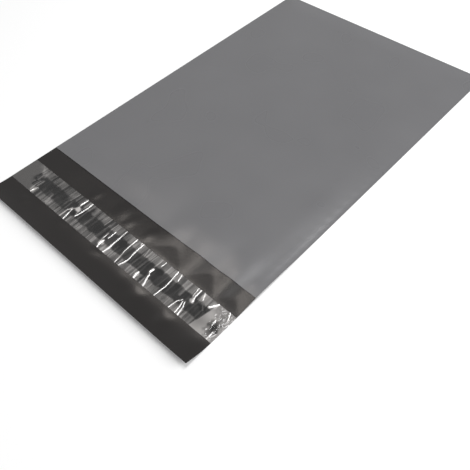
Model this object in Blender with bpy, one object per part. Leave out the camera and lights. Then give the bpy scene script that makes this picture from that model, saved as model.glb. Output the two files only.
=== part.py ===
"""A flat self-seal poly mailer bag, lying on its back panel with its mouth and closing lip towards -Y.

+X runs to the bag's right side, +Y from the lip's edge to the bottom fold, and +Z up out of the front
panel. The origin is under the middle of the bag's outline, on the surface that the bag lies on.
Lengths are in metres. Inside the file, x is measured from the left side and y from the lip's edge.
"""

import math

import bmesh
import bpy

MM = 0.001

# The bag
BAG_WIDTH = 165 * MM
POCKET_DEPTH = 230 * MM  # from the mouth to the bottom fold
LIP_LENGTH = 48 * MM  # how far the back panel runs on past the mouth
FILM_GAUGE = 0.06 * MM
SIDE_WELD = 1.5 * MM  # width of the fused seam down each side
BOTTOM_CREASE = 1.0 * MM  # how much of the bottom fold is pressed flat

# The strip on the lip
LINER_WIDTH = 18 * MM
LINER_FROM_EDGE = 15.8 * MM  # from the lip's edge to the liner's near edge
LINER_GAUGE = 0.04 * MM
ADHESIVE_WIDTH = 8.5 * MM
ADHESIVE_MARGIN = 4.4 * MM  # from the liner's near edge to the adhesive's
ADHESIVE_END_GAP = 12 * MM  # bare liner at each end of the adhesive
ADHESIVE_THICKNESS = 0.12 * MM
ADHESIVE_CORNER = 2.0 * MM
SEAT_GAP = 0.10 * MM  # kept between pieces that touch, so that each stays a solid of its own

# How far the films stand off the table
POCKET_LOFT = 0.9 * MM  # the front panel's usual height above the back one
MOUTH_LOFT = 0.35 * MM  # the same at the mouth's edge, where the panels fall together
LOFT_FROM_SEAM = 16 * MM  # the distance from a seam at which the loft is full
RIPPLE_HEIGHT = 0.28 * MM
RIPPLE_ACROSS = 74 * MM
RIPPLE_ALONG = 128 * MM

# The largest cells of the meshes
FILM_CELL_ACROSS = 5.5 * MM
LIP_CELL = 4.0 * MM
POCKET_CELL = 12 * MM
LINER_CELL_ACROSS = 1.4 * MM
LINER_CELL_ALONG = 3.6 * MM

TOTAL_LENGTH = LIP_LENGTH + POCKET_DEPTH
MOUTH = LIP_LENGTH
LINER_NEAR = LINER_FROM_EDGE
LINER_FAR = LINER_NEAR + LINER_WIDTH
ADHESIVE_NEAR = LINER_NEAR + ADHESIVE_MARGIN
ADHESIVE_FAR = ADHESIVE_NEAR + ADHESIVE_WIDTH

# The right half of the lip rises from the liner's far edge, past the mouth, and then falls again.
LIFT_SLOPE = 0.065
LIFT_START = 0.558 * BAG_WIDTH
LIFT_SIDE = 26 * MM  # the distance over which it comes up from the flat left half
LIFT_PAST_MOUTH = 4 * MM  # where it levels out
LIFT_FALL = 40 * MM  # the length over which it falls from there
LIFT_SOFTNESS = 1.2 * MM  # how gently it starts and levels out

# Hollows at the liner's far edge, where the strip holds the lip down: middle, half width, length.
HOLLOWS = (
    (0.684 * BAG_WIDTH, 11.8 * MM, 8.6 * MM),
    (0.838 * BAG_WIDTH, 9.2 * MM, 8.4 * MM),
    (0.952 * BAG_WIDTH, 7.5 * MM, 6.0 * MM),
)

# Puckers of the lip past the liner's far edge: middle across, half width, half length, height.
PUCKERS = (
    (0.310 * BAG_WIDTH, 7 * MM, 4.5 * MM, 0.25 * MM),
    (0.460 * BAG_WIDTH, 9 * MM, 5.0 * MM, 0.30 * MM),
)

# The lip curls up from the liner to its free edge, which waves on top of that: middle across, half
# width, height.
LIP_CURL = 3.0 * MM
EDGE_WAVES = (
    (0.000 * BAG_WIDTH, 22 * MM, -0.80 * MM),
    (0.290 * BAG_WIDTH, 20 * MM, 0.20 * MM),
    (1.000 * BAG_WIDTH, 16 * MM, 0.60 * MM),
)

# Swells of the front panel: middle across, middle past the mouth, half width, half length, height.
FRONT_SWELLS = (
    (0.530 * BAG_WIDTH, 36 * MM, 30 * MM, 26 * MM, 0.35 * MM),
    (0.200 * BAG_WIDTH, 150 * MM, 48 * MM, 70 * MM, 0.30 * MM),
)

# Tunnels across the liner, where it lies loose: middle across, how far it leans from its near to its
# far end, half width, height, and where on the liner's width it starts and ends, from 0 to 1.
TUNNELS = (
    (0.085 * BAG_WIDTH, -8.0 * MM, 3.2 * MM, 0.30 * MM, 0.0, 1.0),
    (0.120 * BAG_WIDTH, -1.5 * MM, 2.0 * MM, 0.30 * MM, 0.0, 0.6),
    (0.208 * BAG_WIDTH, -2.5 * MM, 2.6 * MM, 0.25 * MM, 0.0, 0.7),
    (0.246 * BAG_WIDTH, 0.5 * MM, 2.2 * MM, 0.25 * MM, 0.2, 1.0),
    (0.296 * BAG_WIDTH, 0.8 * MM, 2.4 * MM, 0.50 * MM, 0.0, 0.5),
    (0.318 * BAG_WIDTH, -0.5 * MM, 2.6 * MM, 0.50 * MM, 0.4, 1.0),
    (0.382 * BAG_WIDTH, 0.2 * MM, 2.0 * MM, 0.25 * MM, 0.0, 1.0),
    (0.430 * BAG_WIDTH, 0.6 * MM, 2.2 * MM, 0.20 * MM, 0.0, 0.8),
    (0.480 * BAG_WIDTH, 0.6 * MM, 2.6 * MM, 0.50 * MM, 0.0, 0.9),
    (0.514 * BAG_WIDTH, -0.4 * MM, 2.2 * MM, 0.40 * MM, 0.0, 1.0),
    (0.581 * BAG_WIDTH, -1.2 * MM, 3.0 * MM, 0.50 * MM, 0.0, 1.0),
    (0.632 * BAG_WIDTH, -1.6 * MM, 2.2 * MM, 0.25 * MM, 0.1, 1.0),
    (0.698 * BAG_WIDTH, -1.6 * MM, 2.6 * MM, 0.45 * MM, 0.0, 0.75),
    (0.761 * BAG_WIDTH, -1.0 * MM, 2.4 * MM, 0.40 * MM, 0.0, 1.0),
    (0.842 * BAG_WIDTH, -1.4 * MM, 3.0 * MM, 0.45 * MM, 0.0, 0.55),
    (0.860 * BAG_WIDTH, 0.6 * MM, 2.6 * MM, 0.45 * MM, 0.5, 1.0),
    (0.925 * BAG_WIDTH, 1.6 * MM, 2.4 * MM, 0.35 * MM, 0.6, 1.0),
    (0.970 * BAG_WIDTH, 3.6 * MM, 2.6 * MM, 0.40 * MM, 0.0, 1.0),
)
TUNNEL_END = 0.12  # the share of the liner's width over which a tunnel dies away

# Colours of the plastics, linear
OUTSIDE_GREY = (0.181, 0.181, 0.188, 1)
INSIDE_BLACK = (0.043, 0.040, 0.037, 1)
ADHESIVE_COLOUR = (0.025, 0.023, 0.021, 1)
LINER_COLOUR = (0.62, 0.62, 0.64, 0.4)


def eased(share):
    """0 below 0, 1 above 1, and a smooth rise between."""
    share = min(max(share, 0.0), 1.0)
    return share * share * (3 - 2 * share)


def swell(across, along):
    """A smooth mound of height 1 that is 0 outside the ellipse whose half axes are both 1."""
    inside = 1 - across * across - along * along
    return inside * inside if inside > 0 else 0.0


def between(stops, cell):
    """Grid lines that pass through every stop, with no cell larger than the one given."""
    lines = [stops[0]]
    for start, end in zip(stops, stops[1:]):
        count = max(1, math.ceil((end - start) / cell - 1e-6))
        lines += [start + (end - start) * k / count for k in range(1, count + 1)]
    return lines


def climb(length, softness):
    """A straight climb that starts softly: 0 up to 0, and then ever closer to a slope of 1."""
    return length * length / (length + softness) if length > 0 else 0.0


def lip_lift(x, y):
    """How far the lip's right half, and the panels past the mouth, stand off the table. Behind a
    hollow the climb starts late, and catches up further on."""
    late = 0.0
    for middle, half_width, length in HOLLOWS:
        off = abs(x - middle) / half_width
        late += length * math.cos(math.pi / 2 * min(off, 1.0))
    start = LINER_FAR + late
    crest = MOUTH + LIFT_PAST_MOUTH
    rise = climb(y - start, LIFT_SOFTNESS) - climb(y - crest, LIFT_SOFTNESS)
    rise += late * eased((y - start) / LIFT_FALL)
    fall = 1 - eased((y - crest) / LIFT_FALL)
    return LIFT_SLOPE * rise * fall * eased((x - LIFT_START) / LIFT_SIDE)


def back_height(x, y):
    """The underside of the back panel and its lip: flat on the table but for the lip's swells."""
    height = lip_lift(x, y)
    if y > LINER_FAR:
        for middle, half_width, half_length, top in PUCKERS:
            height += top * swell((x - middle) / half_width, (y - LINER_FAR - half_length) / half_length)
    if y < LINER_NEAR:
        height += LIP_CURL * (1 - y / LINER_NEAR) ** 2
        for middle, half_width, top in EDGE_WAVES:
            height += top * swell((x - middle) / half_width, y / LINER_NEAR)
    return height


def pocket_gap(x, y):
    """The space between the panels, which is nothing in the side welds and in the bottom crease."""
    from_side = min(x, BAG_WIDTH - x) - SIDE_WELD
    from_fold = TOTAL_LENGTH - BOTTOM_CREASE - y
    if min(from_side, from_fold) < MM / 1000:
        return 0.0
    past_mouth = y - MOUTH
    loft = MOUTH_LOFT + (POCKET_LOFT - MOUTH_LOFT) * eased(past_mouth / LOFT_FROM_SEAM)
    ripple = math.sin(2 * math.pi * x / RIPPLE_ACROSS) * math.cos(2 * math.pi * y / RIPPLE_ALONG)
    loft += RIPPLE_HEIGHT * ripple * eased(past_mouth / LOFT_FROM_SEAM)
    for middle, past, half_width, half_length, top in FRONT_SWELLS:
        loft += top * swell((x - middle) / half_width, (past_mouth - past) / half_length)
    near_seam = min(from_side, from_fold) / LOFT_FROM_SEAM
    return loft * math.sin(math.pi / 2 * min(near_seam, 1.0))


def front_height(x, y):
    """The underside of the front panel, which lies on the back one's top where they are fused."""
    return back_height(x, y) + FILM_GAUGE + pocket_gap(x, y)


def liner_height(x, y):
    """The underside of the liner: over the adhesive it clears it, past it it falls to the lip."""
    past_side = max(ADHESIVE_NEAR - y, y - ADHESIVE_FAR)
    past_end = ADHESIVE_END_GAP - min(x, BAG_WIDTH - x)
    past = max(past_side, past_end, 0.0)
    height = FILM_GAUGE + SEAT_GAP
    height += (ADHESIVE_THICKNESS + SEAT_GAP) * (1 - eased(past / ADHESIVE_MARGIN))
    across = (y - LINER_NEAR) / LINER_WIDTH
    for middle, lean, half_width, top, start, end in TUNNELS:
        off = (x - middle - lean * (across - 0.5)) / half_width
        starts = 1 if start == 0 else eased((across - start) / TUNNEL_END)
        ends = 1 if end == 1 else eased((end - across) / TUNNEL_END)
        height += top * swell(off, 0) * starts * ends
    return height


def add_sheet(bm, x_lines, y_lines, underside, gauge, material_below=0, material_above=0):
    """Adds a sheet of film to a bmesh: a grid on the given lines, laid on a height function and
    thickened upwards. Returns its lower and its upper faces."""
    old = set(bm.verts)
    bmesh.ops.create_grid(bm, x_segments=len(x_lines) - 1, y_segments=len(y_lines) - 1, size=0.5)
    verts = [v for v in bm.verts if v not in old]
    for v in verts:
        v.co.x = x_lines[round((v.co.x + 0.5) * (len(x_lines) - 1))]
        v.co.y = y_lines[round((v.co.y + 0.5) * (len(y_lines) - 1))]
        v.co.z = underside(v.co.x, v.co.y)
    faces = list({face for v in verts for face in v.link_faces})
    lower = bmesh.ops.triangulate(bm, faces=faces, quad_method="FIXED")["faces"]
    made = bmesh.ops.extrude_face_region(bm, geom=lower)["geom"]
    raised = [item for item in made if isinstance(item, bmesh.types.BMVert)]
    bmesh.ops.translate(bm, verts=raised, vec=(0, 0, gauge))
    upper = [item for item in made if isinstance(item, bmesh.types.BMFace)]
    for face in lower:
        face.material_index = material_below
    for face in upper:
        face.material_index = material_above
    return lower, upper


def is_fused(face):
    """True where the two panels are one: in the side welds and in the bottom crease."""
    past_mouth = face.calc_center_median().y > MOUTH
    return past_mouth and all(pocket_gap(v.co.x, v.co.y) == 0 for v in face.verts)


def plastic(name, colour, roughness):
    """A plain plastic of one colour, which is see-through where the colour's alpha is under 1."""
    material = bpy.data.materials.new(name)
    material.use_nodes = True
    shader = material.node_tree.nodes["Principled BSDF"]
    shader.inputs["Base Color"].default_value = colour
    shader.inputs["Roughness"].default_value = roughness
    shader.inputs["Metallic"].default_value = 0
    shader.inputs["Alpha"].default_value = colour[3]
    material.diffuse_color = colour
    return material


def finished(name, bm, corner, materials):
    """Makes an object of a bmesh, with its faces pointing out, and hangs it on the bag's corner."""
    bmesh.ops.recalc_face_normals(bm, faces=bm.faces)
    mesh = bpy.data.meshes.new(name)
    bm.to_mesh(mesh)
    bm.free()
    mesh.shade_smooth()
    mesh.set_sharp_from_angle(angle=math.radians(50))
    for material in materials:
        mesh.materials.append(material)
    piece = bpy.data.objects.new(name, mesh)
    piece.parent = corner
    bpy.context.scene.collection.objects.link(piece)
    return piece


def make_film(corner):
    """The bag itself, one film: back panel with its lip, folded at the bottom into the front panel,
    and fused to it down both sides, so that the pocket is open at the mouth."""
    bm = bmesh.new()
    x_lines = between((0, SIDE_WELD, BAG_WIDTH - SIDE_WELD, BAG_WIDTH), FILM_CELL_ACROSS)
    lip_lines = between((0, LINER_NEAR, LINER_FAR, MOUTH), LIP_CELL)
    pocket_lines = between((MOUTH, TOTAL_LENGTH - BOTTOM_CREASE, TOTAL_LENGTH), POCKET_CELL)
    outside, inside = 0, 1
    back = add_sheet(
        bm, x_lines, lip_lines + pocket_lines[1:], back_height, FILM_GAUGE, outside, inside
    )
    front = add_sheet(bm, x_lines, pocket_lines, front_height, FILM_GAUGE, inside, outside)
    hidden = [face for face in back[1] + front[0] if is_fused(face)]
    bmesh.ops.delete(bm, geom=hidden, context="FACES")
    bmesh.ops.remove_doubles(bm, verts=bm.verts, dist=FILM_GAUGE / 20)
    grey = plastic("grey_film_outside", OUTSIDE_GREY, 0.38)
    black = plastic("black_film_inside", INSIDE_BLACK, 0.40)
    return finished("bag_film", bm, corner, (grey, black))


def make_adhesive(corner):
    """The band of hot-melt adhesive on the lip, with rounded corners."""
    bm = bmesh.new()
    start, end = ADHESIVE_END_GAP, BAG_WIDTH - ADHESIVE_END_GAP
    rounding = 1 - math.sqrt(0.5)
    x_lines = between(
        (
            start,
            start + rounding * ADHESIVE_CORNER,
            start + ADHESIVE_CORNER,
            end - ADHESIVE_CORNER,
            end - rounding * ADHESIVE_CORNER,
            end,
        ),
        FILM_CELL_ACROSS,
    )
    y_lines = between((ADHESIVE_NEAR, ADHESIVE_FAR), ADHESIVE_WIDTH / 2)
    add_sheet(bm, x_lines, y_lines, lambda x, y: FILM_GAUGE + SEAT_GAP, ADHESIVE_THICKNESS)
    middle, half_width = (ADHESIVE_NEAR + ADHESIVE_FAR) / 2, ADHESIVE_WIDTH / 2
    for v in bm.verts:
        from_end = min(max(min(v.co.x - start, end - v.co.x), 0), ADHESIVE_CORNER)
        round_the_corner = 1 - from_end / ADHESIVE_CORNER
        lost = ADHESIVE_CORNER * (1 - math.sqrt(1 - round_the_corner**2))
        v.co.y = middle + (v.co.y - middle) * (1 - lost / half_width)
    return finished("adhesive_strip", bm, corner, (plastic("hot_melt_adhesive", ADHESIVE_COLOUR, 0.15),))


def make_liner(corner):
    """The clear release liner over the adhesive, with tunnels where it has come loose."""
    bm = bmesh.new()
    x_lines = between((0, BAG_WIDTH), LINER_CELL_ACROSS)
    y_lines = between((LINER_NEAR, ADHESIVE_NEAR, ADHESIVE_FAR, LINER_FAR), LINER_CELL_ALONG)
    add_sheet(bm, x_lines, y_lines, liner_height, LINER_GAUGE)
    return finished("release_liner", bm, corner, (plastic("clear_liner_film", LINER_COLOUR, 0.12),))


def build():
    for old in list(bpy.data.objects):
        bpy.data.objects.remove(old)
    corner = bpy.data.objects.new("lip_left_corner", None)
    corner.location = (-BAG_WIDTH / 2, -TOTAL_LENGTH / 2, 0)
    bpy.context.scene.collection.objects.link(corner)
    make_film(corner)
    make_adhesive(corner)
    make_liner(corner)


build()
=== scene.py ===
# %% [markdown]
# # A poly mailer bag
# This lesson dresses a flat self-seal mailing bag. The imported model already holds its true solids:
# the film of the bag, a band of adhesive on its lip, and the clear release liner over the adhesive.
# They are right in size and place but coarse, so each one gets a finely made piece in its stead, and
# each piece gets the finish of the plastic that it is made of.
#
# Everything is in metres. The bag lies on its back panel, the lip points to -Y and +Z is up.

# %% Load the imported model
import math
import random

import bmesh
import bpy
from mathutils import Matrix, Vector, noise


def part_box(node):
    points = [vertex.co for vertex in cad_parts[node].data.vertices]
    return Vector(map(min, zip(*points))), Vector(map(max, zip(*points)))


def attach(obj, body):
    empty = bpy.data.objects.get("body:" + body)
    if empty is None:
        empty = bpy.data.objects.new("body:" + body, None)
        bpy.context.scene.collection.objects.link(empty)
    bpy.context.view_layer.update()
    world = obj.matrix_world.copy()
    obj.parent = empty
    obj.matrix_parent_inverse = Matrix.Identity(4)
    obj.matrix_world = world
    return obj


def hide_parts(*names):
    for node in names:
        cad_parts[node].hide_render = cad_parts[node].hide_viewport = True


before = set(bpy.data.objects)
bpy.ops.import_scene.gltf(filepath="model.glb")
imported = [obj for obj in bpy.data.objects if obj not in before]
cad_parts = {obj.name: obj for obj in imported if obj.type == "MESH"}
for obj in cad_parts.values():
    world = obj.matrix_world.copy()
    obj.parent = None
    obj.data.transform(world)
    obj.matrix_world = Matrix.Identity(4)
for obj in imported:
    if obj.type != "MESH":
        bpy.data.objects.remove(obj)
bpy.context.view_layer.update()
film_low, film_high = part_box("bag_film")
strip_low, strip_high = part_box("adhesive_strip")
liner_low, liner_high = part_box("release_liner")
print("film", [round(1000 * v, 1) for v in film_high - film_low], "mm")

# %% [markdown]
# ## Sizes
# The frame gives the outline of each piece. What a box can't tell is named here: where the mouth is,
# how thick the films are, and how wide the side welds are. Heights are worked out in the bag's own
# coordinates, x from its left side and y from the lip's free edge, because that is how a bag maker
# would measure it. Moving a finished grid by the corner's place brings it back to the frame.

# %% Sizes of the bag
MM = 0.001
LIP_LENGTH = 48 * MM
FILM_GAUGE = 0.06 * MM
SIDE_WELD = 1.5 * MM
BOTTOM_CREASE = 1.0 * MM
LINER_GAUGE = 0.04 * MM
ADHESIVE_GAUGE = 0.05 * MM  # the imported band's 0.12 mm would draw a bright line in the liner
SEAT = 0.015 * MM  # the hair's breadth between pieces that touch

corner = Vector((film_low.x, film_low.y, 0))
BAG_WIDTH = film_high.x - film_low.x
BAG_LENGTH = film_high.y - film_low.y
MOUTH = LIP_LENGTH
LINER_NEAR = liner_low.y - corner.y
LINER_FAR = liner_high.y - corner.y
LINER_WIDTH = LINER_FAR - LINER_NEAR
BAND_NEAR = strip_low.y - corner.y
BAND_FAR = strip_high.y - corner.y
BAND_START = strip_low.x - corner.x
BAND_END = strip_high.x - corner.x
print("mouth at", round(1000 * MOUTH, 1), "mm, liner", round(1000 * LINER_WIDTH, 1), "mm wide")

# %% [markdown]
# ## Camera
# The picture looks down on the bag from its right front corner. The lens and the place come from the
# perspective of the bag's straight edges: a mild long lens, close by, so the lip end looms large.
# The camera is aimed at a point on the table and then rolled a little, as a hand-held camera is.

# %% Camera
LENS = 43.1  # mm, on the default 36 mm sensor
CAMERA_PLACE = Vector((0.17853, -0.20038, 0.23826))
CAMERA_FORWARD = Vector((-0.4335, 0.4367, -0.7882))
CAMERA_ROLL = math.radians(-2.75)

camera_data = bpy.data.cameras.new("camera")
camera_data.lens = LENS
camera_data.clip_start = 0.01
camera = bpy.data.objects.new("camera", camera_data)
camera.location = CAMERA_PLACE
aim = CAMERA_FORWARD.to_track_quat("-Z", "Y").to_matrix()
camera.rotation_euler = aim.to_euler()
camera.rotation_euler.rotate_axis("Z", CAMERA_ROLL)
bpy.context.scene.collection.objects.link(camera)
bpy.context.scene.camera = camera
print("camera at", [round(v, 3) for v in camera.location])

# %% [markdown]
# ## Small helpers for shapes
# A film that lies on a table is a height over a flat grid. `eased` gives smooth starts and ends,
# `swell` a soft mound with a clear edge, and `ridge` the cross-section of a buckled film, which is
# close to one wave of a cosine. `grain` is smooth noise, the same at every run.

# %% Height helpers
def eased(share):
    """0 below 0, 1 above 1, and a smooth rise between."""
    share = min(max(share, 0.0), 1.0)
    return share * share * (3 - 2 * share)


def swell(across, along):
    """A mound of height 1 that is 0 outside the ellipse whose half axes are both 1."""
    inside = 1 - across * across - along * along
    return inside * inside if inside > 0 else 0.0


def ridge(off):
    """One wave of a cosine: 1 at the middle and 0 from 1 outwards."""
    return 0.5 + 0.5 * math.cos(math.pi * off) if abs(off) < 1 else 0.0


def grain(x, y, size_x, size_y, seed):
    """Smooth noise from about -1 to 1, with features of the given sizes."""
    return noise.noise(Vector((x / size_x, y / size_y, seed)))


# %% [markdown]
# ## How the film lies
# Real mailer film is never dead flat. The strip holds the lip flat where it is glued, and the film
# swells up on both sides of it. The front panel stands about a millimetre off the back one, falls
# towards the welds and the fold, and carries long soft ripples from having been packed in a stack.
# These are listed as a maker would sketch them: where, how wide, and how high.

# %% The film's swells and ripples
# The right half of the lip rises from the liner's far edge, past the mouth, and then falls again.
LIFT_SLOPE = 0.078
LIFT_START = 92 * MM
LIFT_SIDE = 26 * MM
LIFT_PAST_MOUTH = 4 * MM
LIFT_FALL = 40 * MM
LIFT_SOFTNESS = 1.2 * MM

# Hollows at the liner's far edge, where the strip holds the lip down: middle, half width, length.
HOLLOWS = (
    (112.8 * MM, 15.0 * MM, 9.2 * MM),
    (138.2 * MM, 12.0 * MM, 9.4 * MM),
    (157.0 * MM, 9.0 * MM, 6.5 * MM),
)

# Puckers of the lip where a loose wrinkle of the liner pulls it: middle across, middle from the lip's
# edge, half width, half length, height.
PUCKERS = (
    (27.0 * MM, 39.0 * MM, 9.0 * MM, 6.0 * MM, 0.12 * MM),
    (50.5 * MM, 40.0 * MM, 3.8 * MM, 6.5 * MM, 0.26 * MM),
    (72.5 * MM, 43.0 * MM, 8.0 * MM, 9.0 * MM, 0.30 * MM),
    (81.0 * MM, 40.0 * MM, 4.5 * MM, 7.0 * MM, 0.22 * MM),
    (96.0 * MM, 40.5 * MM, 4.5 * MM, 7.0 * MM, 0.20 * MM),
    (23.0 * MM, 10.5 * MM, 6.5 * MM, 4.0 * MM, 0.45 * MM),
    (52.0 * MM, 13.5 * MM, 7.0 * MM, 4.0 * MM, 0.14 * MM),
    (82.0 * MM, 14.0 * MM, 6.0 * MM, 5.0 * MM, 0.16 * MM),
)

# The lip curls up from the liner to its free edge, and the edge waves a little on top of that:
# middle across, half width, height.
LIP_CURL = 3.0 * MM
EDGE_WAVES = (
    (0.0 * MM, 22.0 * MM, -0.80 * MM),
    (48.0 * MM, 20.0 * MM, 0.20 * MM),
    (165.0 * MM, 16.0 * MM, 0.60 * MM),
)

# Flats where the curl starts further from the liner: middle across, half width, length.
CURL_FLATS = (
    (105.0 * MM, 6.0 * MM, 1.2 * MM),
    (118.5 * MM, 6.5 * MM, 3.6 * MM),
    (139.0 * MM, 6.0 * MM, 3.6 * MM),
    (158.0 * MM, 6.0 * MM, 1.2 * MM),
)

# Swells of the front panel: middle across, middle past the mouth, half width, half length, height.
FRONT_SWELLS = (
    (162.0 * MM, 38.0 * MM, 5.0 * MM, 46.0 * MM, 0.15 * MM),
    (87.5 * MM, 36.0 * MM, 30.0 * MM, 26.0 * MM, 0.35 * MM),
    (33.0 * MM, 150.0 * MM, 48.0 * MM, 70.0 * MM, 0.30 * MM),
)
POCKET_LOFT = 0.90 * MM
MOUTH_LOFT = 0.30 * MM
LOFT_FROM_SEAM = 16 * MM
RIPPLE_HEIGHT = 0.28 * MM
RIPPLE_ACROSS = 74 * MM
RIPPLE_ALONG = 128 * MM
WELD_PUCKER = 0.10 * MM
WELD_PUCKER_LENGTH = 7.5 * MM
WELD_PUCKER_REACH = 9 * MM
WELD_PUCKER_START = 2 * MM
FOLD_CALM = 4 * MM  # the bottom fold holds the welds' puckers flat this far
UNEVEN_LOFT = 0.10 * MM
LIP_CRUMPLE = 0.10 * MM
PUCKER_EDGE = 1.5 * MM  # from the liner's edge to where the lip puckers freely
PUCKER_FADE = 14 * MM  # past the mouth the lip's puckers fade out over this length
ON_SEAM = 0.001 * MM  # closer to a seam than this counts as on it


def climb(length, softness):
    """A straight climb that starts softly: 0 up to 0, and then ever closer to a slope of 1."""
    return length * length / (length + softness) if length > 0 else 0.0


def lip_lift(x, y):
    """The lift of the lip's right half. Behind a hollow the climb starts late, and catches up."""
    late = 0.0
    for middle, half_width, length in HOLLOWS:
        late += length * ridge((x - middle) / half_width)
    start = LINER_FAR + late
    crest = MOUTH + LIFT_PAST_MOUTH
    rise = climb(y - start, LIFT_SOFTNESS) - climb(y - crest, LIFT_SOFTNESS)
    rise += late * eased((y - start) / LIFT_FALL)
    fall = 1 - eased((y - crest) / LIFT_FALL)
    return LIFT_SLOPE * rise * fall * eased((x - LIFT_START) / LIFT_SIDE)


def back_height(x, y):
    """The underside of the back panel and its lip, in the bag's own coordinates."""
    height = lip_lift(x, y)
    free = eased(max(LINER_NEAR - y, y - LINER_FAR) / PUCKER_EDGE)
    free *= 1 - eased((y - MOUTH) / PUCKER_FADE)
    if free > 0:
        for middle_x, middle_y, half_width, half_length, top in PUCKERS:
            height += free * top * swell((x - middle_x) / half_width, (y - middle_y) / half_length)
        height += free * LIP_CRUMPLE * (0.5 + 0.5 * grain(x, y, 13 * MM, 9 * MM, 3.1))
    if y < LINER_NEAR:
        start = LINER_NEAR
        for middle, half_width, length in CURL_FLATS:
            start -= length * ridge((x - middle) / half_width)
        height += LIP_CURL * max(1 - y / start, 0) ** 2
        for middle, half_width, top in EDGE_WAVES:
            height += top * swell((x - middle) / half_width, y / LINER_NEAR)
    return height


def pocket_gap(x, y):
    """The space between the panels: nothing in the side welds and in the bottom crease."""
    from_side = min(x, BAG_WIDTH - x) - SIDE_WELD
    from_fold = BAG_LENGTH - BOTTOM_CREASE - y
    if min(from_side, from_fold) < ON_SEAM:
        return 0.0
    past_mouth = y - MOUTH
    opened = eased(past_mouth / LOFT_FROM_SEAM)
    loft = MOUTH_LOFT + (POCKET_LOFT - MOUTH_LOFT) * opened
    ripple = math.sin(2 * math.pi * x / RIPPLE_ACROSS) * math.cos(2 * math.pi * y / RIPPLE_ALONG)
    loft += RIPPLE_HEIGHT * ripple * opened
    for middle, past, half_width, half_length, top in FRONT_SWELLS:
        loft += top * swell((x - middle) / half_width, (past_mouth - past) / half_length)
    loft += UNEVEN_LOFT * (1 + grain(x, y, 34 * MM, 46 * MM, 1.3)) * opened
    near_seam = min(from_side, from_fold) / LOFT_FROM_SEAM
    phase = 2 * math.pi * y / WELD_PUCKER_LENGTH + 4 * grain(x, y, 30 * MM, 30 * MM, 5)
    pull = WELD_PUCKER * (0.5 + 0.5 * math.sin(phase)) * (1 - eased(from_side / WELD_PUCKER_REACH))
    pull *= eased(from_side / WELD_PUCKER_START) * eased(from_fold / FOLD_CALM)
    return loft * math.sin(math.pi / 2 * min(near_seam, 1.0)) + pull


def front_height(x, y):
    """The underside of the front panel, which is fused to the back one in the welds."""
    return back_height(x, y) + FILM_GAUGE + pocket_gap(x, y)


# %% [markdown]
# ## Sheets of film
# A sheet is a flat grid, laid on a height function, and then extruded upwards by its gauge, so that
# it is a real film with two faces and a rim. The grid's lines pass through every place where
# something changes, such as the mouth and the welds, so the edges there are crisp. The triangles are
# made before the extrusion, which gives both faces the same diagonals, and the film an even gauge.

# %% Making a sheet
def between(stops, cell):
    """Grid lines that pass through every stop, with no cell larger than the one given."""
    lines = [stops[0]]
    for start, end in zip(stops, stops[1:]):
        count = max(1, math.ceil((end - start) / cell - 1e-6))
        lines += [start + (end - start) * k / count for k in range(1, count + 1)]
    return lines


def add_sheet(bm, x_lines, y_lines, underside, gauge):
    """Adds a film on the given grid lines and height function. Returns its lower and upper faces."""
    old = len(bm.verts)
    columns, rows = len(x_lines) - 1, len(y_lines) - 1
    bmesh.ops.create_grid(bm, x_segments=columns, y_segments=rows, size=0.5)
    bm.verts.ensure_lookup_table()
    verts = bm.verts[old:]
    for v in verts:
        x = x_lines[round((v.co.x + 0.5) * columns)]
        y = y_lines[round((v.co.y + 0.5) * rows)]
        v.co = corner + Vector((x, y, underside(x, y)))
    faces = list({face for v in verts for face in v.link_faces})
    lower = bmesh.ops.triangulate(bm, faces=faces, quad_method="FIXED")["faces"]
    made = bmesh.ops.extrude_face_region(bm, geom=lower)["geom"]
    raised = [item for item in made if isinstance(item, bmesh.types.BMVert)]
    bmesh.ops.translate(bm, verts=raised, vec=(0, 0, gauge))
    upper = [item for item in made if isinstance(item, bmesh.types.BMFace)]
    return lower, upper


def finished(name, bm, materials, node):
    """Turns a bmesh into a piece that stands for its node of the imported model."""
    bmesh.ops.recalc_face_normals(bm, faces=bm.faces)
    mesh = bpy.data.meshes.new(name)
    bm.to_mesh(mesh)
    bm.free()
    mesh.shade_smooth()
    mesh.set_sharp_from_angle(angle=math.radians(50))
    for material in materials:
        mesh.materials.append(material)
    piece = bpy.data.objects.new(name, mesh)
    bpy.context.scene.collection.objects.link(piece)
    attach(piece, "root")
    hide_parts(node)
    print(name, "has", len(mesh.polygons), "faces")
    return piece


# %% [markdown]
# ## Helpers for finishes
# Colours are written as the hex values that a picture would show, and turned to linear light in one
# place. One function adds a node with its settings and links, so that each material reads as a
# recipe from top to bottom.

# %% Colour and node helpers
def linear(hex_colour):
    """An sRGB hex colour, such as 'ff8800', as linear RGBA."""
    channels = [int(hex_colour[k : k + 2], 16) / 255 for k in (0, 2, 4)]
    return [c / 12.92 if c <= 0.04045 else ((c + 0.055) / 1.055) ** 2.4 for c in channels] + [1]


def put(tree, kind, inputs=(), **settings):
    """Adds a node. An input is given a value, or another node's output to link to."""
    made = tree.nodes.new(kind)
    for name, value in settings.items():
        setattr(made, name, value)
    for name, value in dict(inputs).items():
        if isinstance(value, bpy.types.NodeSocket):
            tree.links.new(value, made.inputs[name])
        else:
            made.inputs[name].default_value = value
    return made


def new_material(name):
    """A material with an empty shader to fill, its tree and that shader."""
    material = bpy.data.materials.new(name)
    material.use_nodes = True
    return material, material.node_tree, material.node_tree.nodes["Principled BSDF"]


# %% [markdown]
# ## Polyethylene film
# The bag is blown polyethylene film: a bubble of melt, cooled and wound flat. That gives a satin
# skin with a very fine orange peel, faint die lines along the way it was wound, and broad clouds
# where it cooled unevenly. All of it shows in the sheen and hardly in the colour, so the noises
# drive roughness and bump, and only whisper in the base colour. The outer layer is grey and the
# inner one black. They differ in colour alone, so one recipe makes both.

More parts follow.
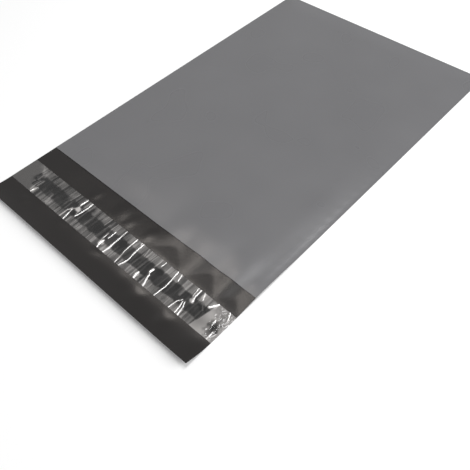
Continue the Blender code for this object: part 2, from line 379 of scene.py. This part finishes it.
# %% Polyethylene film, grey and black
PEEL = 0.9 * MM  # orange peel, drawn a little coarser than real so that it shows
DIE_LINE = 1.8 * MM  # spacing of the die lines across the web
CLOUD = 38 * MM  # size of the clouds in the sheen


def blown_film(name, colour, cloud_colour, satin, cloudiness):
    """Blown polyethylene: satin, with clouds, die lines along the web and a fine orange peel."""
    material, tree, shader = new_material(name)
    place = put(tree, "ShaderNodeTexCoord").outputs["Object"]
    clouds = put(tree, "ShaderNodeTexNoise", {"Vector": place, "Scale": 1 / CLOUD, "Detail": 1})
    tint = put(
        tree,
        "ShaderNodeMix",
        {0: clouds.outputs["Fac"], 6: linear(colour), 7: linear(cloud_colour)},
        data_type="RGBA",
    )
    sheen = put(
        tree,
        "ShaderNodeMapRange",
        {
            "Value": clouds.outputs["Fac"],
            "From Min": 0.1,
            "From Max": 0.9,
            "To Min": satin - cloudiness,
            "To Max": satin + cloudiness,
        },
        interpolation_type="SMOOTHSTEP",
    )
    web = put(tree, "ShaderNodeMapping", {"Vector": place, "Scale": (1, 0.02, 1)})
    lines = put(
        tree,
        "ShaderNodeTexNoise",
        {"Vector": web.outputs["Vector"], "Scale": 1 / DIE_LINE, "Detail": 2},
    )
    peel = put(tree, "ShaderNodeTexNoise", {"Vector": place, "Scale": 1 / PEEL, "Detail": 1})
    line_bump = put(
        tree,
        "ShaderNodeBump",
        {"Height": lines.outputs["Fac"], "Strength": 0.10, "Distance": 0.05 * MM},
    )
    peel_bump = put(
        tree,
        "ShaderNodeBump",
        {
            "Height": peel.outputs["Fac"],
            "Strength": 0.18,
            "Distance": 0.03 * MM,
            "Normal": line_bump.outputs["Normal"],
        },
    )
    tree.links.new(tint.outputs[2], shader.inputs["Base Color"])
    tree.links.new(sheen.outputs["Result"], shader.inputs["Roughness"])
    tree.links.new(peel_bump.outputs["Normal"], shader.inputs["Normal"])
    shader.inputs["IOR"].default_value = 1.51
    print("finish:", name)
    return material


grey_film = blown_film("polyethylene_film_grey", "69696b", "6d6d6f", 0.29, 0.04)
black_film = blown_film("polyethylene_film_black", "1b1918", "211e1d", 0.24, 0.03)

# %% [markdown]
# ## The bag
# A mailer is one tube of film: folded at the bottom, welded down both sides, with the back panel
# running on past the mouth as the lip. The back panel is one sheet and the front panel another on
# the same grid lines. In the welds and the crease the two touch, so their hidden faces are deleted
# and their points merged, which fuses the sheets into one film with an open pocket.

# %% Make the bag
ACROSS_CELL = 1.6 * MM
LIP_CELL = 1.0 * MM
POCKET_CELL = 2.2 * MM
BLACK = 1  # the second of the bag's two finishes; a face is grey until told otherwise


def is_fused(face):
    """True where the two panels are one: in the side welds and in the bottom crease."""
    past_mouth = face.calc_center_median().y - corner.y > MOUTH
    return past_mouth and all(
        pocket_gap(v.co.x - corner.x, v.co.y - corner.y) == 0 for v in face.verts
    )


def make_bag():
    """The whole bag as one film: back panel with the lip, front panel, welds and bottom fold."""
    bm = bmesh.new()
    x_lines = between((0, SIDE_WELD, BAG_WIDTH - SIDE_WELD, BAG_WIDTH), ACROSS_CELL)
    lip_lines = between((0, LINER_NEAR, LINER_FAR, MOUTH), LIP_CELL)
    pocket_lines = between((MOUTH, BAG_LENGTH - BOTTOM_CREASE, BAG_LENGTH), POCKET_CELL)
    back = add_sheet(bm, x_lines, lip_lines + pocket_lines[1:], back_height, FILM_GAUGE)
    front = add_sheet(bm, x_lines, pocket_lines, front_height, FILM_GAUGE)
    for face in back[1] + front[0]:
        face.material_index = BLACK
    hidden = [face for face in back[1] + front[0] if is_fused(face)]
    bmesh.ops.delete(bm, geom=hidden, context="FACES")
    bmesh.ops.remove_doubles(bm, verts=bm.verts, dist=FILM_GAUGE / 20)
    bag = finished("mailer_film", bm, (grey_film, black_film), "bag_film")
    return bag


bag = make_bag()

# %% [markdown]
# ## The adhesive
# The strip is hot-melt adhesive, coated as a thin band and always a little tacky. It is glassy and
# nearly black over the black film. Its ends are rounded, where the coating head lifts off.

# %% Hot-melt adhesive
END_ROUNDING = 2.0 * MM
BAND_CELL_ALONG = 0.5 * MM
BAND_CELL_ACROSS = 0.7 * MM


def hot_melt():
    """Hot-melt adhesive: glassy and nearly black, with a slight ripple from coating."""
    material, tree, shader = new_material("hot_melt_adhesive")
    place = put(tree, "ShaderNodeTexCoord").outputs["Object"]
    flow = put(tree, "ShaderNodeTexNoise", {"Vector": place, "Scale": 1 / (3 * MM), "Detail": 2})
    ripple = put(
        tree,
        "ShaderNodeBump",
        {"Height": flow.outputs["Fac"], "Strength": 0.25, "Distance": 0.05 * MM},
    )
    tree.links.new(ripple.outputs["Normal"], shader.inputs["Normal"])
    shader.inputs["Base Color"].default_value = linear("161413")
    shader.inputs["Roughness"].default_value = 0.16
    return material


def make_adhesive():
    """The band of adhesive: a flat sheet whose points are drawn in towards its two round ends."""
    bm = bmesh.new()
    x_lines = between((BAND_START, BAND_END), BAND_CELL_ALONG)
    y_lines = between((BAND_NEAR, BAND_FAR), BAND_CELL_ACROSS)
    add_sheet(bm, x_lines, y_lines, lambda x, y: FILM_GAUGE + SEAT, ADHESIVE_GAUGE)
    middle = corner.y + (BAND_NEAR + BAND_FAR) / 2
    half_width = (BAND_FAR - BAND_NEAR) / 2
    for v in bm.verts:
        x = v.co.x - corner.x
        from_end = min(max(min(x - BAND_START, BAND_END - x), 0), END_ROUNDING)
        round_the_corner = 1 - from_end / END_ROUNDING
        lost = END_ROUNDING * (1 - math.sqrt(1 - round_the_corner**2))
        v.co.y = middle + (v.co.y - middle) * (1 - lost / half_width)
    return finished("adhesive_band", bm, (hot_melt(),), "adhesive_strip")


adhesive = make_adhesive()

# %% [markdown]
# ## The release liner
# The liner is a clear, stiff little film that peels off the adhesive. It is what catches the eye:
# where the lip has been bent, the liner has come loose and buckled into tunnels that run across it,
# and each crest catches the lamps as a thin bright line. Along each crease the film is also painted
# white: partly the stretched film's own whitening, partly a painted glint that shows under any lamp.
# Where it touches the adhesive it is clear and the strip looks black. Where air lies under it, it
# looks milky.
#
# A crease here is a line across the strip: its points give how far along the strip it is, in
# millimetres, and how far across, from 0 at the near edge to 1 at the far one. Such a crease is a
# fold with two straight flanks. The line follows the right-hand one, which faces the long lamp.

# %% The liner's creases
# How sharp it is, from 0 to 1 for a full crease, its half width in millimetres, the line's points.
CREASES = (
    (1.00, 0.9, ((19.1, 0.0), (19.4, 0.14), (20.3, 0.25))),
    (0.55, 1.4, ((17.6, 0.08), (16.9, 0.30), (17.4, 0.48))),
    (0.50, 1.4, ((18.6, 0.30), (18.9, 0.55))),
    (0.50, 1.5, ((14.9, 0.48), (14.3, 0.72))),
    (0.25, 2.2, ((14.4, 0.70), (8.5, 1.0))),
    (0.40, 2.0, ((33.6, 0.0), (31.3, 0.40))),
    (0.55, 0.7, ((37.9, 0.72), (38.0, 1.0))),
    (0.55, 0.6, ((40.8, 0.62), (40.9, 1.0))),
    (0.70, 0.8, ((43.0, 0.62), (43.4, 1.0))),
    (0.35, 0.8, ((42.0, 0.40), (42.2, 0.70))),
    (0.50, 0.7, ((44.9, 0.30), (44.5, 0.62))),
    (1.00, 0.9, ((47.0, 0.0), (47.1, 0.30), (48.3, 0.46))),
    (1.00, 0.9, ((50.4, 0.0), (49.5, 0.28), (48.6, 0.44))),
    (1.00, 1.3, ((48.8, 0.46), (51.2, 0.58), (50.2, 0.74), (50.8, 1.0))),
    (1.00, 1.4, ((51.4, 0.60), (53.2, 0.50))),
    (1.00, 1.0, ((54.2, 0.30), (54.9, 0.56), (55.2, 0.80), (54.7, 1.0))),
    (0.80, 0.9, ((54.2, 0.30), (53.0, 0.44))),
    (0.45, 0.6, ((56.9, 0.0), (56.7, 0.80))),
    (0.40, 0.8, ((61.1, 0.70), (61.3, 1.0))),
    (0.55, 0.6, ((62.8, 0.30), (62.9, 0.72))),
    (0.60, 0.9, ((70.8, 0.0), (70.7, 0.24))),
    (0.50, 0.9, ((73.9, 0.0), (73.8, 0.22))),
    (0.60, 0.9, ((71.6, 0.70), (71.8, 1.0))),
    (0.50, 0.8, ((74.0, 0.55), (74.1, 0.80))),
    (1.00, 1.0, ((79.2, 0.18), (78.2, 0.30), (77.9, 0.56))),
    (1.00, 1.6, ((80.4, 0.0), (79.6, 0.12), (79.6, 0.30))),
    (1.00, 0.9, ((80.5, 0.44), (80.3, 0.74))),
    (0.55, 0.8, ((77.0, 0.70), (77.2, 1.0))),
    (0.55, 0.8, ((82.6, 0.72), (82.4, 1.0))),
    (0.90, 0.8, ((85.1, 0.62), (84.5, 1.0))),
    (1.00, 1.1, ((85.2, 0.0), (85.7, 0.25), (85.3, 0.48), (85.0, 0.66))),
    (1.00, 0.9, ((95.1, 0.0), (94.4, 0.24), (93.6, 0.50), (93.0, 1.0))),
    (1.00, 1.0, ((98.0, 0.0), (99.3, 0.30), (98.5, 0.60), (98.1, 1.0))),
    (1.00, 1.3, ((97.4, 0.92), (97.0, 1.0))),
    (0.45, 0.7, ((102.9, 0.10), (102.6, 0.50))),
    (0.60, 0.7, ((104.1, 0.72), (102.7, 1.0))),
    (0.60, 0.7, ((105.3, 0.72), (104.9, 1.0))),
    (0.40, 0.8, ((108.0, 0.70), (108.2, 1.0))),
    (1.00, 1.3, ((110.0, 0.0), (109.4, 0.12), (109.2, 0.24))),
    (
        1.00,
        1.3,
        ((117.0, 0.0), (116.5, 0.12), (115.0, 0.28), (114.9, 0.36), (113.5, 0.46), (114.0, 0.58)),
    ),
    (0.60, 0.8, ((113.0, 0.68), (113.2, 1.0))),
    (0.80, 0.9, ((115.6, 0.80), (115.9, 1.0))),
    (0.50, 0.8, ((119.8, 0.72), (119.7, 1.0))),
    (1.00, 0.9, ((125.4, 0.0), (126.1, 0.40), (125.5, 0.72), (124.6, 1.0))),
    (1.00, 0.9, ((128.6, 0.78), (127.3, 1.0))),
    (0.45, 1.5, ((135.1, 0.48), (134.9, 1.0))),
    (1.00, 0.9, ((135.8, 0.0), (136.5, 0.30), (138.2, 0.43))),
    (1.00, 0.9, ((140.4, 0.0), (139.9, 0.22), (139.0, 0.40))),
    (1.00, 0.9, ((142.3, 0.0), (141.5, 0.24), (140.0, 0.42))),
    (1.00, 0.9, ((142.7, 0.56), (140.4, 0.72), (139.7, 1.0))),
    (1.00, 1.0, ((142.8, 0.58), (141.7, 0.72), (141.5, 1.0))),
    (0.90, 0.9, ((145.9, 0.80), (144.0, 1.0))),
    (0.45, 1.4, ((149.8, 0.56), (147.4, 0.70))),
    (1.00, 1.5, ((151.0, 0.74), (152.5, 0.86), (153.8, 1.0))),
    (1.00, 1.0, ((158.9, 0.42), (158.4, 0.56))),
    (1.00, 1.0, ((162.0, 0.0), (161.8, 0.28))),
    (1.00, 1.0, ((163.0, 0.78), (161.0, 1.0))),
)
FULL_SLOPE = 0.37  # of a full crease's flanks, at the middle of the strip
SLOPE_CHANGE = -0.0016  # and how much that changes with each millimetre to the right
MIDDLE_ALONG = 82  # mm, about the middle of the strip
FLANK = 0.5  # from a crease's line to its crest, in half widths
WHITENING_AND_GLINT_REACH = 0.6  # from a crease's line to where its painted white and glint end, in half widths
CREASE_REACH = 2.5  # mm, a crease is only worked out this close to its line

# Low flat-topped blisters where the liner is loose between two crests: the middle along the strip,
# how far they lean, their half width, and where across the strip they start and end.
BLISTERS = (
    (48.5, 0.0, 2.0, 0.0, 0.40),
    (52.8, 0.4, 2.4, 0.5, 1.0),
    (81.5, 0.6, 4.2, 0.0, 1.0),
    (96.1, -0.5, 2.4, 0.0, 1.0),
    (139.0, 0.0, 3.0, 0.0, 0.4),
    (141.6, 0.0, 2.0, 0.6, 1.0),
)
BLISTER_HEIGHT = 0.06

# Spots where the liner is milkier or clearer: the middle along the strip and across it, the half
# sizes along and across, and how much milkier or clearer it is there. The strongly milky ones sit on
# bright crests and are painted glints. The clearer ones are where the liner clings.
SPOTS = (
    (12.2, 0.55, 2.2, 0.28, -0.14),
    (8.5, 0.94, 3.2, 0.16, 0.10),
    (12.0, 0.84, 3.6, 0.18, 0.16),
    (16.0, 0.76, 2.4, 0.20, 0.18),
    (19.6, 0.12, 1.4, 0.16, 0.40),
    (22.0, 0.86, 3.0, 0.20, -0.12),
    (25.0, 0.58, 4.0, 0.22, -0.12),
    (34.0, 0.14, 2.6, 0.20, 0.22),
    (43.2, 0.90, 1.3, 0.16, 0.14),
    (48.4, 0.42, 1.1, 0.08, 0.70),
    (51.7, 0.55, 2.2, 0.12, 1.50),
    (52.0, 0.36, 2.0, 0.12, -0.20),
    (59.0, 0.85, 1.8, 0.26, -0.14),
    (62.0, 0.10, 3.6, 0.17, 0.14),
    (67.5, 0.85, 3.0, 0.22, 0.10),
    (71.5, 0.48, 3.0, 0.20, -0.14),
    (79.6, 0.20, 2.0, 0.17, 0.90),
    (83.5, 0.08, 2.4, 0.18, 0.34),
    (85.4, 0.30, 1.0, 0.26, 0.40),
    (90.0, 0.60, 2.6, 0.32, -0.16),
    (104.0, 0.75, 2.0, 0.24, 0.12),
    (109.4, 0.12, 1.5, 0.18, 0.80),
    (112.5, 0.14, 2.2, 0.20, -0.14),
    (113.6, 0.52, 1.2, 0.14, 0.90),
    (117.5, 0.64, 3.2, 0.12, -0.20),
    (122.0, 0.86, 2.6, 0.20, 0.12),
    (130.5, 0.10, 2.0, 0.20, -0.14),
    (142.0, 0.57, 2.2, 0.10, 0.80),
    (144.6, 0.88, 1.3, 0.12, 0.50),
    (148.8, 0.62, 3.4, 0.14, -0.20),
    (152.6, 0.88, 2.2, 0.15, 0.50),
    (160.4, 0.42, 4.6, 0.55, -0.55),
)
CREASE_WHITENING_AND_GLINT = 0.60  # how white a full crease's crest is painted: partly stretched film, partly a painted glint
CREASE_END = 0.05  # the share of the strip's width over which a crease dies away
HAIRLINES = 90
HAIRLINE_SEED = 12
HAIRLINE_SPAN = (12, 150)  # mm along the strip
WIDTH_MM = 18  # the strip's width, which turns a share of it into millimetres for the noises

# The crushed right-hand end of the strip, in millimetres: its start, how much that start leans
# across the strip, over what length it sets in, and its height.
CRUMPLE_START = 154.5
CRUMPLE_LEAN = 3
CRUMPLE_EASE = 3
CRUMPLE_HEIGHT = 0.24

# How milky the liner is by itself, from 0 to 1. It is plain up to one place, frosted from another.
PLAIN_MILK = 0.18
FROSTED_MILK = 0.58
PLAIN_END = 8 * MM
FROSTED_START = 149.5 * MM

LINER_REST = FILM_GAUGE + SEAT
LINER_OVER_BAND = ADHESIVE_GAUGE + SEAT


def hairlines():
    """Faint creases too many to place by hand, with the same make-up as the ones above."""
    dice = random.Random(HAIRLINE_SEED)
    made = []
    for _ in range(HAIRLINES):
        along = dice.uniform(*HAIRLINE_SPAN)
        start = dice.choice((0.0, 0.7, dice.uniform(0.0, 0.7)))
        end = min(1.0, start + dice.uniform(0.25, 1.0))
        lean = dice.uniform(-0.8, 0.8)
        points = ((along, start), (along + lean, end))
        made.append((dice.uniform(0.05, 0.40), dice.uniform(0.4, 0.8), points))
    return made


def fold(off):
    """The cross-section of a fold: straight flanks of slope 1, with a rounded crest and soft feet."""
    share, bend = 1 - abs(off), 0.3
    if share <= 0:
        return 0.0
    if share < bend:
        return share * share / (2 * bend)
    if share > 1 - bend:
        return 1 - bend - (1 - share) ** 2 / (2 * bend)
    return share - bend / 2


def crease_at(along, across, crease):
    """How far one crease lifts the liner at a place, and how white the fold is painted there: partly
    the stretched film's whitening, partly a painted glint.
    """
    sharpness, half_width, points = crease
    start, end = points[0][1], points[-1][1]
    if not start - CREASE_END < across < end + CREASE_END:
        return 0.0, 0.0
    line = points[-1][0]
    for (x0, v0), (x1, v1) in zip(points, points[1:]):
        if across <= v1:
            line = x0 + (x1 - x0) * max(across - v0, 0) / (v1 - v0)
            break
    off = (along - line) / half_width
    if not -1 - FLANK < off < WHITENING_AND_GLINT_REACH:
        return 0.0, 0.0
    alive = 1.0
    if start > 0:
        alive *= eased((across - start) / CREASE_END + 1)
    if end < 1:
        alive *= eased((end - across) / CREASE_END + 1)
    slope = sharpness * (FULL_SLOPE + SLOPE_CHANGE * (line - MIDDLE_ALONG))
    lift = slope * half_width * fold(off + FLANK) * alive
    return lift, sharpness * ridge(off / WHITENING_AND_GLINT_REACH) * alive


all_creases = CREASES + tuple(hairlines())
reaches = [
    (min(x for x, v in points) - CREASE_REACH, max(x for x, v in points) + CREASE_REACH)
    for sharpness, half_width, points in all_creases
]
print(len(all_creases), "creases and", len(BLISTERS), "blisters")


def blister_height(along, across, blister):
    """How far one blister lifts the liner at a place: flat on top, with soft flanks."""
    middle, lean, half_width, start, end = blister
    off = abs(along - middle - lean * (across - 0.5))
    lift = eased((half_width - off) / 1.0)
    if start > 0:
        lift *= eased((across - start) / CREASE_END)
    if end < 1:
        lift *= eased((end - across) / CREASE_END)
    return BLISTER_HEIGHT * lift


def crumple(along, across):
    """The crushed right-hand end of the strip, as sharp folds of a noise."""
    inside = eased((along - CRUMPLE_START - CRUMPLE_LEAN * (0.5 - across)) / CRUMPLE_EASE)
    if inside == 0:
        return 0.0
    crushed = 1 - abs(grain(along - 7 * across, WIDTH_MM * across, 1.7, 2.1, 11.0)) * 2.6
    patches = 0.5 + 0.5 * grain(along, WIDTH_MM * across, 3.0, 4.0, 21.0)
    return CRUMPLE_HEIGHT * inside * patches * max(crushed, 0) ** 2


def loose_at(x, y):
    """How far the liner stands off what it covers, and how white its creases are painted, partly as
    whitening and partly as painted glints.
    """
    along, across = x / MM, (y - LINER_NEAR) / LINER_WIDTH
    wander = along + 0.10 * grain(along, WIDTH_MM * across, 9, 3.2, 4.0)
    height, whitening_and_glint = 0.0, 0.0
    for (low, high), crease in zip(reaches, all_creases):
        if low < wander < high:
            # white is the crease's painted white: partly the stretched film's whitening, partly a
            # painted glint
            lift, white = crease_at(wander, across, crease)
            height = max(height, lift)
            whitening_and_glint = max(whitening_and_glint, white)
    height += max(blister_height(wander, across, blister) for blister in BLISTERS)
    return (height + crumple(along, across)) * MM, whitening_and_glint


def on_band(x, y):
    """1 over the adhesive, 0 well away from it, with an edge that wanders a little."""
    wobble = 0.9 * MM * grain(x, y, 3.5 * MM, 3.5 * MM, 9.0)
    ragged = 6 * MM * max(0, grain(x, y, 5 * MM, 3 * MM, 2.0)) if x < 30 * MM else 0
    inside = min(y - BAND_NEAR, BAND_FAR - y, x - BAND_START - ragged, BAND_END - x) + wobble
    return eased(inside / (1.0 * MM) + 0.5)


def liner_height(x, y):
    """The underside of the liner: down on the lip, up over the adhesive, and up in the creases."""
    beside = max(BAND_NEAR - y, y - BAND_FAR, BAND_START - x, x - BAND_END, 0)
    over = 1 - eased(beside / (4.0 * MM))
    return LINER_REST + LINER_OVER_BAND * over + loose_at(x, y)[0]


def haze_and_glint(x, y):
    """How much of the liner's own milky light shows: little where the adhesive wets it, and more
    along the creases, whose white is partly the film's whitening and partly a painted glint.
    """
    lift, whitening_and_glint = loose_at(x, y)
    streak = grain(x, y, 1.8 * MM, 24 * MM, 6.0) + 0.5 * grain(x, y, 0.7 * MM, 12 * MM, 8.0)
    cloud = grain(x, y, 7 * MM, 6 * MM, 10.0)
    milky = PLAIN_MILK + 0.13 * eased((x - 60 * MM) / (40 * MM)) + 0.34 * streak + 0.14 * cloud
    plain = 1 - eased((x - PLAIN_END - 0.45 * (LINER_FAR - y)) / (2.5 * MM))
    milky += (PLAIN_MILK - milky) * plain
    frosted = eased((x - FROSTED_START - 0.2 * (y - LINER_NEAR)) / (1.2 * MM))
    milky += (FROSTED_MILK + 0.20 * cloud - milky) * frosted
    dry = 0.06 + 0.30 * max(0.0, streak) + 0.3 * eased(lift / (0.15 * MM))
    milky = max(milky, 0.02)
    milky *= 1 - on_band(x, y) * (1 - min(dry, 1.0)) * (1 - frosted)
    along, across = x / MM, (y - LINER_NEAR) / LINER_WIDTH
    lean = 0.5 * grain(along, WIDTH_MM * across, 2.0, 2.0, 31.0)
    # the strongly milky spots on bright crests add painted glints
    for middle_along, middle_across, half_along, half_across, change in SPOTS:
        off = (along - middle_along) / half_along + lean
        milky += change * swell(off, (across - middle_across) / half_across)
    # the creases' painted white goes on top: partly whitening of the stretched film, partly a painted
    # glint
    return min(max(milky, 0.0) + CREASE_WHITENING_AND_GLINT * whitening_and_glint**1.5, 1.0)


# %% [markdown]
# The finish is a clear plastic with two smooth faces, so it has a coat as well as its own gloss,
# which makes a crest flash as brightly as the two faces of a real liner do. How much of it shows
# is an attribute on the mesh, because the haze follows the creases and the adhesive underneath.
# The same attribute carries the white painted along the creases, which is partly the film's own
# whitening and partly a painted glint.

# %% Clear liner film
CLEAR, MILKY = "100f0f", "d3cfcc"
CLEAR_COVER, MILKY_COVER = 0.55, 0.85
RIPPLE = 0.7 * MM  # size of the fine ripple in the liner's surface


def clear_film():
    """Clear film under a coat. Its attribute of haze and painted glint mixes in the milky colour and
    the cover.
    """
    material, tree, shader = new_material("clear_release_liner")
    veil = put(tree, "ShaderNodeAttribute", attribute_name="haze_and_glint")
    place = put(tree, "ShaderNodeTexCoord").outputs["Object"]
    fine = put(tree, "ShaderNodeTexNoise", {"Vector": place, "Scale": 1 / RIPPLE, "Detail": 2})
    ripple = put(
        tree,
        "ShaderNodeBump",
        {"Height": fine.outputs["Fac"], "Strength": 0.2, "Distance": 0.02 * MM},
    )
    milk = put(
        tree,
        "ShaderNodeMix",
        {0: veil.outputs["Fac"], 6: linear(CLEAR), 7: linear(MILKY)},
        data_type="RGBA",
    )
    cover = put(
        tree,
        "ShaderNodeMapRange",
        {"Value": veil.outputs["Fac"], "To Min": CLEAR_COVER, "To Max": MILKY_COVER},
    )
    tree.links.new(milk.outputs[2], shader.inputs["Base Color"])
    tree.links.new(cover.outputs["Result"], shader.inputs["Alpha"])
    tree.links.new(ripple.outputs["Normal"], shader.inputs["Normal"])
    shader.inputs["Roughness"].default_value = 0.15
    shader.inputs["Coat Weight"].default_value = 1.0
    shader.inputs["Coat Roughness"].default_value = 0.08
    shader.inputs["Coat IOR"].default_value = 1.8
    return material


LINER_CELL = 0.16 * MM
LINER_CELL_ALONG = 0.42 * MM


def make_liner():
    """The liner as one fine sheet, with its haze stored at every point."""
    bm = bmesh.new()
    x_lines = between((0, BAG_WIDTH), LINER_CELL)
    y_lines = between((LINER_NEAR, LINER_FAR), LINER_CELL_ALONG)
    add_sheet(bm, x_lines, y_lines, liner_height, LINER_GAUGE)
    layer = bm.verts.layers.float.new("haze_and_glint")
    for v in bm.verts:
        v[layer] = haze_and_glint(v.co.x - corner.x, v.co.y - corner.y)
    liner = finished("clear_liner", bm, (clear_film(),), "release_liner")
    return liner


liner = make_liner()

# %% [markdown]
# ## Floor and light
# The bag lies on a plain white floor in plain studio light. The floor is white to the camera, and
# keeps the bag's soft shadow. Further off it glows by itself, so that it runs into the background.
# A long lamp overhead draws the bright lines on the liner's crests, a small warm one on the left
# shines along the lip's swells, and the world fills in from all round.

# %% Floor, world and lamps
FLOOR_SIZE = 6.0
FLOOR_DROP = 0.05 * MM
FLOOR_GLOW = 0.10  # lifts the floor to white in the camera's view, and lights nothing
GLOW_START, GLOW_FULL = 0.45, 1.30  # from here on the glow rises, and here it is white by itself
WORLD_LEVEL = 0.40


def make_floor():
    """A white floor just under the bag, whose glow only the camera sees."""
    bm = bmesh.new()
    bmesh.ops.create_grid(bm, x_segments=1, y_segments=1, size=FLOOR_SIZE / 2)
    bmesh.ops.translate(bm, verts=bm.verts, vec=(0, 0, -FLOOR_DROP))
    mesh = bpy.data.meshes.new("floor")
    bm.to_mesh(mesh)
    bm.free()
    material, tree, shader = new_material("white_floor")
    place = put(tree, "ShaderNodeTexCoord").outputs["Object"]
    away = put(tree, "ShaderNodeVectorMath", {0: place}, operation="LENGTH")
    rising = put(
        tree,
        "ShaderNodeMapRange",
        {
            "Value": away.outputs["Value"],
            "From Min": GLOW_START,
            "From Max": GLOW_FULL,
            "To Min": FLOOR_GLOW,
            "To Max": 1.0,
        },
    )
    seen = put(tree, "ShaderNodeLightPath").outputs["Is Camera Ray"]
    glow = put(
        tree, "ShaderNodeMath", {0: seen, 1: rising.outputs["Result"]}, operation="MULTIPLY"
    )
    shader.inputs["Base Color"].default_value = linear("f4f4f4")
    shader.inputs["Roughness"].default_value = 0.9
    shader.inputs["Specular IOR Level"].default_value = 0.0
    shader.inputs["Emission Color"].default_value = (1, 1, 1, 1)
    tree.links.new(glow.outputs["Value"], shader.inputs["Emission Strength"])
    mesh.materials.append(material)
    floor = bpy.data.objects.new("floor", mesh)
    bpy.context.scene.collection.objects.link(floor)


def make_world():
    """A world that is white to the camera and lights the bag more softly."""
    world = bpy.data.worlds.new("studio")
    world.use_nodes = True
    tree = world.node_tree
    path = put(tree, "ShaderNodeLightPath")
    level = put(
        tree,
        "ShaderNodeMapRange",
        {"Value": path.outputs["Is Camera Ray"], "To Min": WORLD_LEVEL, "To Max": 1.0},
    )
    background = tree.nodes["Background"]
    background.inputs["Color"].default_value = (1, 1, 1, 1)
    tree.links.new(level.outputs["Result"], background.inputs["Strength"])
    bpy.context.scene.world = world


def make_lamp(name, place, aim_at, size, watts, colour=(1, 1, 1)):
    """A rectangular lamp at a place, aimed at a point, with its long side along its second size."""
    data = bpy.data.lights.new(name, "AREA")
    data.shape = "RECTANGLE"
    data.size, data.size_y = size
    data.energy = watts
    data.color = colour
    lamp = bpy.data.objects.new(name, data)
    lamp.location = place
    lamp.rotation_euler = (Vector(aim_at) - Vector(place)).to_track_quat("-Z", "Y").to_euler()
    bpy.context.scene.collection.objects.link(lamp)
    return lamp


make_floor()
make_world()
make_lamp(
    "overhead_strip",
    place=(0.05, 0.17, 0.95),
    aim_at=(0.05, -0.11, 0),
    size=(0.25, 0.70),
    watts=4.6,
)
make_lamp(
    "back_softbox",
    place=(1.05, 1.00, 0.78),
    aim_at=(0, 0, 0),
    size=(1.40, 1.00),
    watts=17.0,
)
warm = make_lamp(
    "left_softbox",
    place=(-0.35, 0.075, 0.746),
    aim_at=(0.05, 0.075, 0),
    size=(0.07, 0.22),
    watts=0.56,
    colour=(1, 0.93, 0.87),
)
# The warm lamp is flagged off the liner, whose flat parts would mirror it as one white glare.
film_only = bpy.data.collections.new("film_only")
film_only.objects.link(bag)
warm.light_linking.receiver_collection = film_only
bpy.context.scene.view_settings.view_transform = "Standard"
print("lamps:", [lamp.name for lamp in bpy.data.lights])
